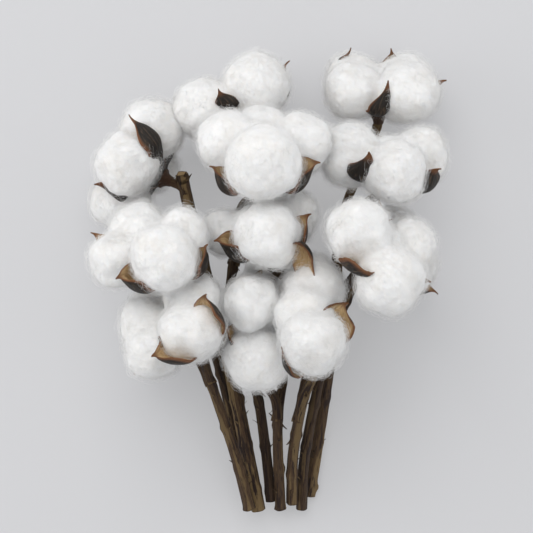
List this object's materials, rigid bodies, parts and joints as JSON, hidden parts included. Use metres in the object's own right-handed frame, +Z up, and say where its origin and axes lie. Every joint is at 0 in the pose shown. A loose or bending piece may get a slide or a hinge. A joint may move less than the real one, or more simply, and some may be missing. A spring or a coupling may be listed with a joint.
{
  "type": "cotton stem bunch",
  "caption": "Loose bunch of dried cotton stems lying on its side, its forked woody stems carrying open white bolls in dark pointed husks",
  "frame": {"origin": "the surface that the bunch lies on, under the middle of the bunch's box", "axes": "+Y along the bunch from the cut ends to the bolls, +X to the right with the bolls away, +Z up"},
  "size_m": [0.1971, 0.2617, 0.1311],
  "materials": {
    "cotton": "matte fluffy natural cotton fibre",
    "husk": "dry dark brown husk, tan inside, orange-brown rims and tips",
    "stem": "dry olive-brown bark with dark ribs and patches"
  },
  "bodies": {
    "root": {"husk_01": "husk", "cotton_01": "cotton", "husk_02": "husk", "cotton_02": "cotton", "husk_03": "husk", "cotton_03": "cotton", "husk_04": "husk", "cotton_04": "cotton", "husk_05": "husk", "cotton_05": "cotton", "husk_06": "husk", "cotton_06": "cotton", "husk_07": "husk", "cotton_07": "cotton", "husk_08": "husk", "cotton_08": "cotton", "husk_09": "husk", "cotton_09": "cotton", "husk_10": "husk", "cotton_10": "cotton", "husk_11": "husk", "cotton_11": "cotton", "husk_12": "husk", "cotton_12": "cotton", "husk_13": "husk", "cotton_13": "cotton", "husk_14": "husk", "cotton_14": "cotton", "stem_1": "stem", "stem_2": "stem", "stem_3": "stem", "stem_4": "stem", "stem_5": "stem", "stem_6": "stem", "stem_7": "stem", "stem_8": "stem"}
  },
  "joints": []
}
